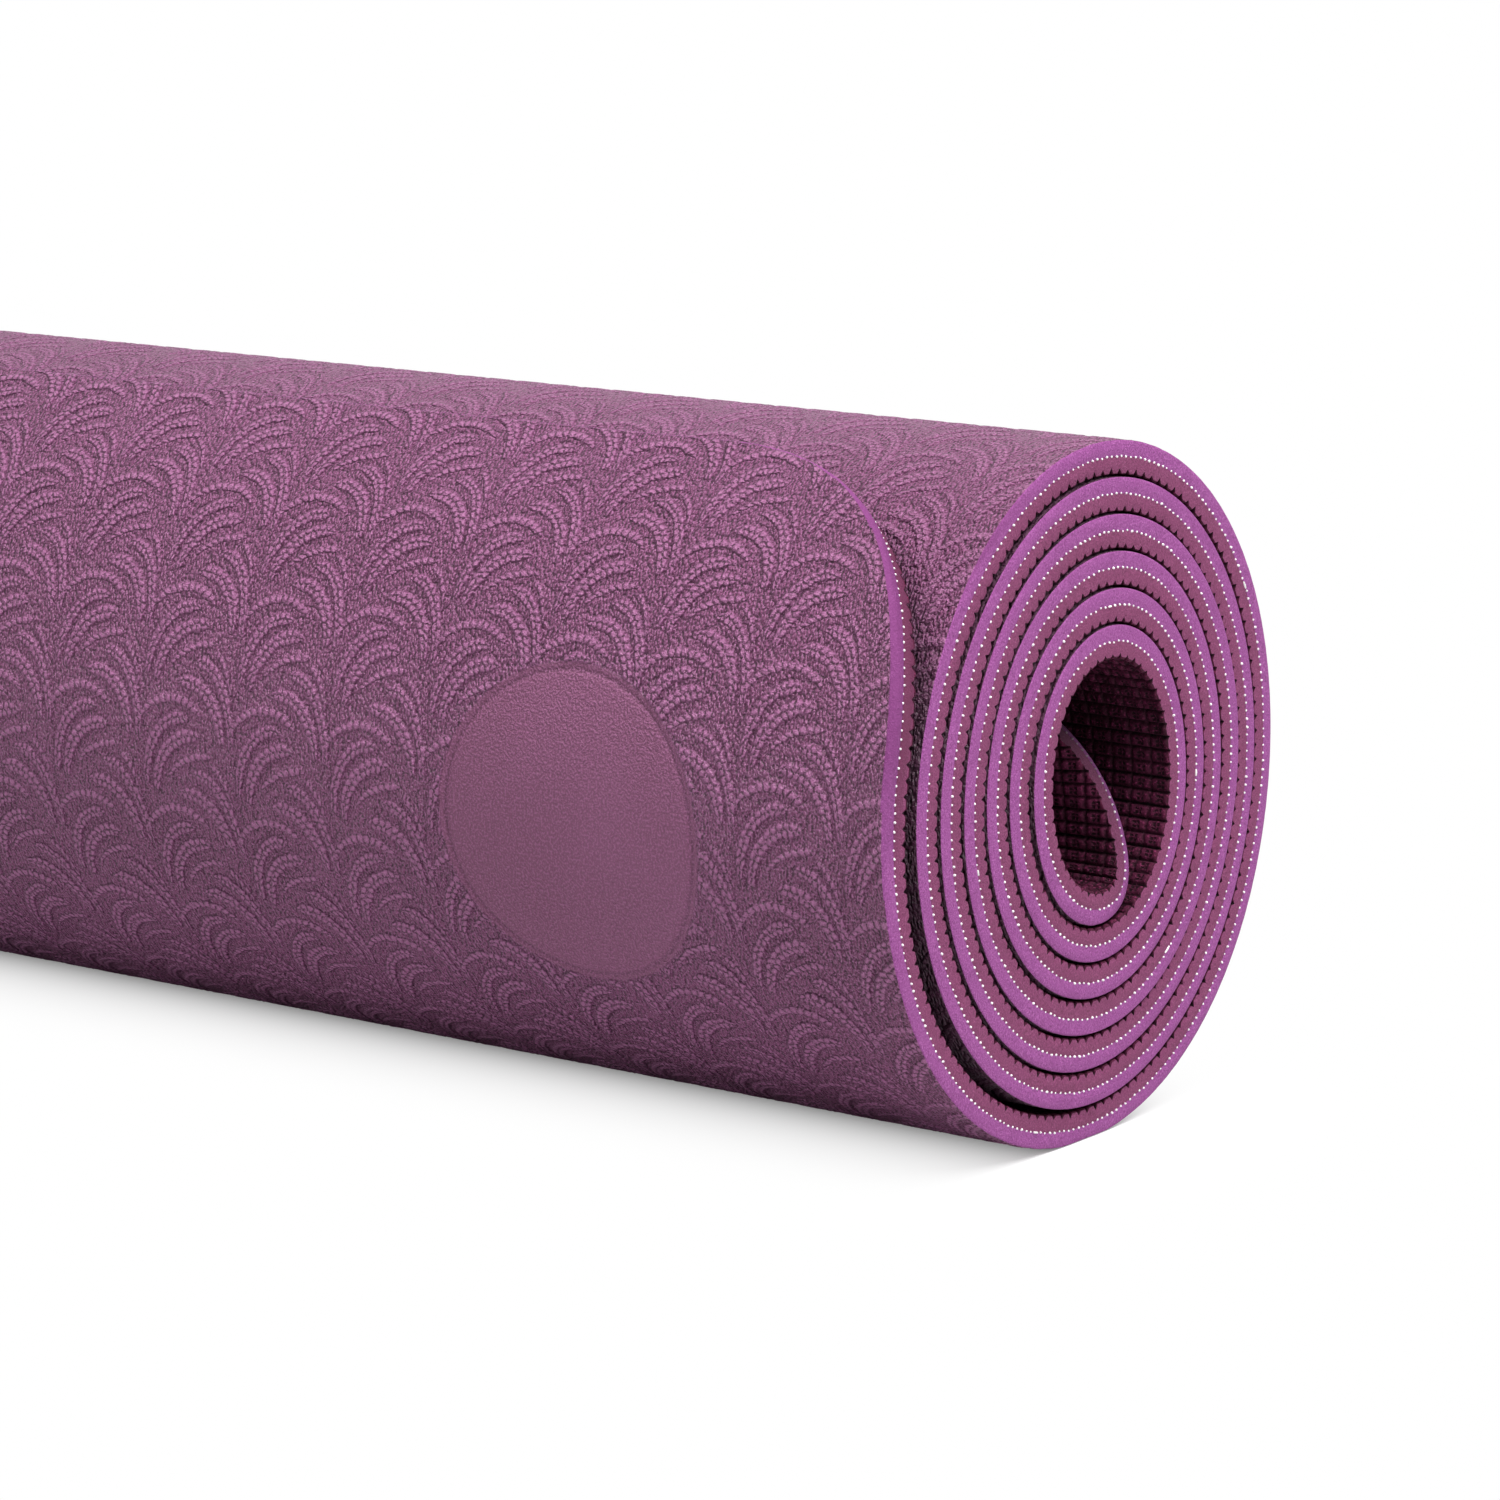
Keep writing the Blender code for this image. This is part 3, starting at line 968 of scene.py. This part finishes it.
def blockMaterial():
    look = innerLook
    darkness, rough, bump = look["dark"], look["rough"], look["bump"]
    made = Material("plum blocks", look["color"], look["roughness"], look["shine"])
    across, along = made.sheetPlace()
    shifts = made.wander(look["wander"], made.joined(across, along))
    uneven = moved((across, along), shifts, look["wanderReach"])
    deep, shallow, pit, cross = blockRelief(*uneven, look["drawnSoft"])
    grain = made.noise(*look["grain"])
    wear = made.noise(*look["wear"])
    # painted shade in the grooves and pits
    hollow = most(deep * darkness["deep"], shallow * darkness["shallow"])
    hollow = most(hollow, (pit - cross) * darkness["pit"])
    tone = made.mix(contrasted(wear, look["wearContrast"]) * look["wearTone"], look["color"], look["top"])
    # grain flecks lightened, partly as painted highlight
    tone = made.mix(contrasted(grain, look["grainContrast"]), tone, look["top"])
    made.feed("Base Color", made.mix(clamped(hollow), tone, look["groove"]))
    made.feed("Roughness", grain * rough["grain"] + rough["base"])
    relief = grain * bump["grain"] - shallow * bump["shallow"]
    made.bump(relief - (pit - cross) * bump["pit"] - deep * bump["deep"])
    return made


plumBlocks = blockMaterial()
notchPitch = blocks["along"] * mm
blocksStart = line.length - innerLook["fineLength"]
innerRows = rowPlaces(repeated(innerLook["notchRows"], notchPitch, 0, blocksStart))
innerColumns = columnPlaces(innerLook["woundColumns"], division["notchEdge"])
innerPieces = ply("inner_wound", -1, innerRows, innerColumns, notchHeight, [plumBlocks, plumCut])
blockRows = rowPlaces(repeated(innerLook["blockRows"], notchPitch, blocksStart, line.length))
innerPieces += ply("inner_core", -1, blockRows, blockColumns(), blockHeight, [plumBlocks, plumCut],
                   innerLook["panels"], innerLook["squeeze"])
attach(innerPieces, "inner_foam")
print("inner foam:", len(innerPieces), "pieces")


# The net: a plain sheet of yarn between the foams, and its cut ends along every edge. Millimetres

netLook = {
    "color": (0.97, 0.96, 0.96),
    "worn": (0.70, 0.63, 0.68),
    "soiled": (0.66, 0.50, 0.61),
    # painted shade for the yarn inside the core
    "shaded": (0.10, 0.05, 0.08),
    "roughness": 0.7,
    "fibres": (0.12, 3.0, 0.6), "fibreContrast": (1.6, 0.5), "fibreTone": 0.3,
    "soil": (6.0, 2.0, 0.5), "soilContrast": (2, 1), "soilTone": 0.25,
    "rough": {"base": 0.55, "fibres": 0.3},
    "bump": 0.06,
    "inset": 0.0008,  # in metres
    "rows": 611, "columns": 33,
}
yarnShape = {
    "pitch": 1.608, "radius": 0.220, "out": 0.30,
    "sizes": (0.82, 1.15), "reaches": (0.5, 1.3),
    "uneven": {"pitch": 0.06, "height": 0.07, "tilt": 0.22},
    "cornerSteps": 90, "ahead": 0.05, "inward": 0.5,
    "segments": 6,
    "rings": [-0.5, 0.0, 0.6, 0.88, 1.0], "widths": [1.0, 1.0, 0.96, 0.72, 0.30],
}
# now and then an end lies over along the edge
looseYarn = {
    "share": 0.012, "halfLengths": (0.45, 0.9), "radius": 0.9, "off": 0.10,
    "rings": [-1.0, -0.96, -0.5, 0.5, 0.96, 1.0], "widths": [0.3, 0.8, 1.0, 1.0, 0.8, 0.3],
}


def netMaterial():
    look = netLook
    made = Material("white yarn", look["color"], look["roughness"])
    fibres = made.noise(*look["fibres"])
    soil = made.noise(*look["soil"])
    worn = contrasted(fibres, look["fibreContrast"]) * look["fibreTone"]
    soiled = contrasted(soil, look["soilContrast"]) * look["soilTone"]
    tone = made.mix(soiled, made.mix(worn, look["color"], look["worn"]), look["soiled"])
    x, y, z = made.placeInRoll()
    # painted shade: yarn ends inside the core take the shaded colour
    inside = clamped((paintedShadeYarn["radius"] - fromAxis(y, z)) * paintedShadeYarn["sharp"])
    inside = inside * clamped((paintedShadeYarn["end"] - abs(x)) * paintedShadeYarn["endSharp"])
    made.feed("Base Color", made.mix(inside * paintedShadeYarn["cut"], tone, look["shaded"]))
    made.feed("Roughness", fibres * look["rough"]["fibres"] + look["rough"]["base"])
    made.bump(fibres * look["bump"])
    return made


def netSheet(material):
    inset = netLook["inset"]
    rows = np.linspace(inset, line.length - inset, netLook["rows"])
    across = acrossAt(rows, np.linspace(-1, 1, netLook["columns"]) * sheet["width"] / 2, 1.0)
    across = across * (1 - inset * 2 / sheet["width"])
    along = np.broadcast_to(rows[:, None], across.shape)
    shape = Shape("net_sheet", [material])
    shape.grid(line.place(across, along, 0), np.stack([across, along], axis=-1), 0, True)
    return shape.make()


def edgePlaces(pitch):
    # places all round the sheet's edge, and the way out of it at each
    turned = np.linspace(0, math.pi / 2, yarnShape["cornerSteps"])
    arcs = []
    for quarter, (signX, signY) in enumerate([(1, 1), (-1, 1), (-1, -1), (1, -1)]):
        radius = sheet["innerCornerRadius"] if signY > 0 else sheet["cornerRadius"]
        midX = signX * (sheet["width"] / 2 - radius)
        midY = line.length / 2 + signY * (line.length / 2 - radius)
        angle = turned + quarter * math.pi / 2
        arcs.append(np.stack([midX + radius * np.cos(angle), midY + radius * np.sin(angle)], axis=1))
    outline = np.concatenate(arcs + [arcs[0][:1]])
    run = runAlong(outline)
    places = np.arange(pitch, run[-1] - pitch, pitch)
    places += random.normal(0, yarnShape["uneven"]["pitch"], len(places)) * mm
    ahead, here = (
        np.stack([np.interp(places + step, run, outline[:, i]) for i in range(2)], axis=1)
        for step in (yarnShape["ahead"] * mm, 0.0)
    )
    step = (ahead - here) / np.linalg.norm(ahead - here, axis=1)[:, None]
    return here, np.stack([step[:, 1], -step[:, 0]], axis=1)


def tubes(shape, middles, axes, outs, offsets, radii):
    # many short round pieces at once, each with its own axis; offsets and radii are given ring by ring
    segments = yarnShape["segments"]
    turned = (np.arange(segments) * fullTurn / segments)[None, :, None]
    sides = np.cross(axes, outs)
    sides /= np.linalg.norm(sides, axis=1)[:, None]
    ups = np.cross(sides, axes)
    radial = ups[:, None] * np.cos(turned) + sides[:, None] * np.sin(turned)
    points = middles[:, None, None] + axes[:, None, None] * offsets[:, :, None, None]
    points = points + radial[:, None] * radii[:, :, None, None]
    slope = -np.gradient(radii, axis=1) / np.gradient(offsets, axis=1)
    normals = radial[:, None] + axes[:, None, None] * slope[:, :, None, None]
    normals /= np.linalg.norm(normals, axis=3)[..., None]
    count, rings = offsets.shape
    index = np.arange(count * rings * segments).reshape(count, rings, segments)
    after = np.roll(index, -1, axis=2)
    quads = np.stack([index[:, :-1], after[:, :-1], after[:, 1:], index[:, 1:]], axis=-1).reshape(-1, 4)
    caps = [index[:, 0, ::-1], index[:, -1, :]]
    shape.add(points, points[..., :2], normals, [quads, *caps], 0, 0)


def yarnEnds(material):
    look, uneven = yarnShape, yarnShape["uneven"]
    places, away = edgePlaces(look["pitch"] * mm)
    count = len(places)
    out = line.outAt(places[:, 0], places[:, 1])
    middles = line.place(places[:, 0], places[:, 1], 0)
    within = places - away * look["inward"] * mm
    axes = (middles - line.place(within[:, 0], within[:, 1], 0)) / (look["inward"] * mm)
    along = np.cross(axes, out)
    middles += out * random.normal(0, uneven["height"], count)[:, None] * mm
    tiltOut = out * random.normal(0, uneven["tilt"], count)[:, None]
    axes += tiltOut + along * random.normal(0, uneven["tilt"], count)[:, None]
    axes /= np.linalg.norm(axes, axis=1)[:, None]
    size = random.uniform(*look["sizes"], count)[:, None] * mm
    reach = random.uniform(*look["reaches"], count)[:, None]
    offsets = np.array([look["rings"]]) * reach * look["out"] * size
    radii = np.array([look["widths"]]) * look["radius"] * size
    shape = Shape("yarn_ends", [material])
    tubes(shape, middles, axes, out, offsets, radii)
    loose = np.flatnonzero(random.random(count) < looseYarn["share"])
    half = random.uniform(*looseYarn["halfLengths"], len(loose))[:, None] * mm
    offsets = np.array([looseYarn["rings"]]) * half
    radii = np.array([looseYarn["widths"]]) * look["radius"] * looseYarn["radius"] * mm * np.ones_like(half)
    lying = along[loose] / np.linalg.norm(along[loose], axis=1)[:, None]
    tubes(shape, middles[loose] + axes[loose] * looseYarn["off"] * mm, lying, out[loose], offsets, radii)
    return shape.make()


whiteYarn = netMaterial()
net = netSheet(whiteYarn)
ends = yarnEnds(whiteYarn)
attach([net, ends], "reinforcing_net")
print("net: the sheet and its yarn ends")


# The floor, the light and the camera

studio = {
    "floor": 0.67,
    "floorRoughness": 0.9,
    "floorReach": 6.0,
    "floorHeight": -0.0002,
    "world": 0.29,
    "shadowStart": 0.0045,
    "shadowReach": 0.0165,
    "shadowPower": 1.3,
    "shadowInset": 0.004,
    "endStretch": 1.6,
    "camera": (0.81425, -0.79118, 0.26074),
    "cameraTilt": 90 - 11.261,
    "cameraTurn": 36.563,
    "lens": 125.69,
    "sensor": 36,
    "clipStart": 0.05,
}
lights = [
    {"name": "overhead", "place": (-1.0, -0.5, 1.75), "aim": (0, 0, 0.06), "size": (1.0, 1.0), "power": 9.0},
    {"name": "front", "place": (0.85, -0.24, 1.65), "aim": (0.1, 0, 0.06), "size": (0.9, 1.4), "power": 47.0},
]


def floorMaterial():
    # seen by the camera, the floor's own white takes over with distance from the roll, past its shadow
    grey = (studio["floor"],) * 3
    made = Material("studio floor", grey, studio["floorRoughness"], 0.0)
    camera = made.node("ShaderNodeLightPath", output="Is Camera Ray")
    made.feed("Base Color", made.mix(camera, grey, (1.0, 1.0, 1.0)))
    x, y = (abs(part) for part in made.placeInRoll()[:2])
    beyond = most(x - sheet["width"] / 2 + studio["shadowInset"], 0.0) * studio["endStretch"]
    aside = most(y - studio["shadowStart"], 0.0)
    away = root(beyond * beyond + aside * aside) * (1 / studio["shadowReach"])
    share = 1 - (away.math("POWER", studio["shadowPower"]) * -1).math("EXPONENT")
    white = made.node("ShaderNodeEmission", None, {"Color": (1, 1, 1, 1), "Strength": 1.0})
    both = {0: share * camera, 1: Socket(made, made.shader.outputs[0]), 2: white}
    made.link(made.node("ShaderNodeMixShader", None, both), made.output.inputs["Surface"])
    return made


def makeFloor():
    mesh = bpy.data.meshes.new("studio_floor")
    reach = studio["floorReach"]
    corners = [(-reach, -reach), (reach, -reach), (reach, reach), (-reach, reach)]
    mesh.from_pydata([(x, y, studio["floorHeight"]) for x, y in corners], [], [(0, 1, 2, 3)])
    mesh.materials.append(floorMaterial().data)
    floor = bpy.data.objects.new("studio_floor", mesh)
    scene.collection.objects.link(floor)


def makeWorld():
    # white where it is seen, and dimmer as a light
    made = NodeTree(bpy.data.worlds.new("studio"))
    scene.world = made.data
    seen = made.node("ShaderNodeLightPath", output="Is Camera Ray")
    for kind in ("Is Glossy Ray", "Is Transmission Ray"):
        seen = most(seen, made.node("ShaderNodeLightPath", output=kind))
    values = {"Value": seen, "To Min": studio["world"], "To Max": 1.0}
    background = made.tree.nodes["Background"]
    made.link(made.node("ShaderNodeMapRange", None, values), background.inputs["Strength"])
    background.inputs["Color"].default_value = (1, 1, 1, 1)


def softLight(name, place, aim, size, power):
    light = bpy.data.lights.new(name, "AREA")
    light.shape = "RECTANGLE"
    light.size, light.size_y = size
    light.energy = power
    item = bpy.data.objects.new(name, light)
    item.location = place
    item.rotation_euler = (Vector(aim) - Vector(place)).to_track_quat("-Z", "Y").to_euler()
    scene.collection.objects.link(item)


def makeCamera():
    data = bpy.data.cameras.new("camera")
    data.sensor_width = studio["sensor"]
    data.lens = studio["lens"]
    data.clip_start = studio["clipStart"]
    camera = bpy.data.objects.new("camera", data)
    camera.location = studio["camera"]
    camera.rotation_euler = (math.radians(studio["cameraTilt"]), 0, math.radians(studio["cameraTurn"]))
    scene.collection.objects.link(camera)
    scene.camera = camera


makeFloor()
makeWorld()
for light in lights:
    softLight(**light)
makeCamera()
scene.view_settings.view_transform = "Standard"
print("studio: floor, light and camera")
